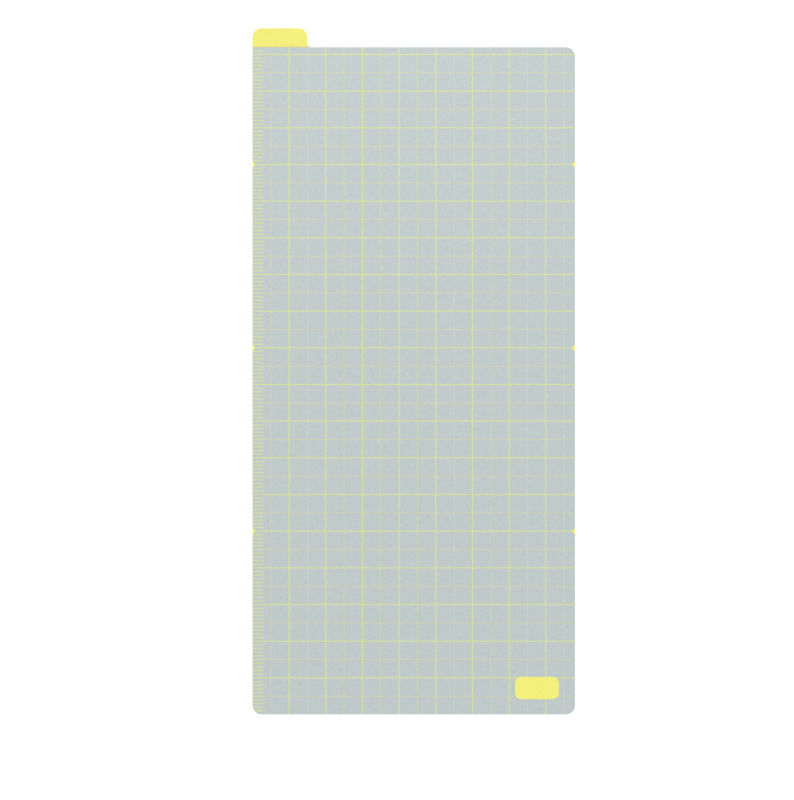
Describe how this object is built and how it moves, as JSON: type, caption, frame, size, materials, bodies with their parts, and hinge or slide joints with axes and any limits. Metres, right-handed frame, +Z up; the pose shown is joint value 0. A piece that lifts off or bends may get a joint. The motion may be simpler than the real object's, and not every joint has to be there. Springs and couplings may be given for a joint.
{
  "type": "cutting mat",
  "caption": "Slim rectangular self-healing cutting mat with a printed grid, an edge ruler and a yellow index tab.",
  "frame": {"origin": "under the middle of the overall outline, tab included, on the underside that rests on the bench", "axes": "+X to the right across the mat, +Y up its length towards the tab, +Z up out of the printed face"},
  "size_m": [0.088, 0.1872, 0.001],
  "materials": {
    "soft_ply": "fine matt grain, pale grey-green soft PVC",
    "core_plastic": "smooth satin, pale yellow hard plastic",
    "yellow_ink": "satin screen-printed ink, laid on solid",
    "fine_line_ink": "satin screen-printed ink, thinner and paler in the fine lines"
  },
  "bodies": {
    "root": {"bottom_layer": "soft_ply", "core_sheet": "core_plastic", "top_layer": "soft_ply", "centimetre_grid_print": "fine_line_ink", "half_centimetre_grid_print": "fine_line_ink", "ruler_scale_print": "fine_line_ink", "edge_dots_print": "yellow_ink", "name_panel_print": "yellow_ink"}
  },
  "joints": []
}
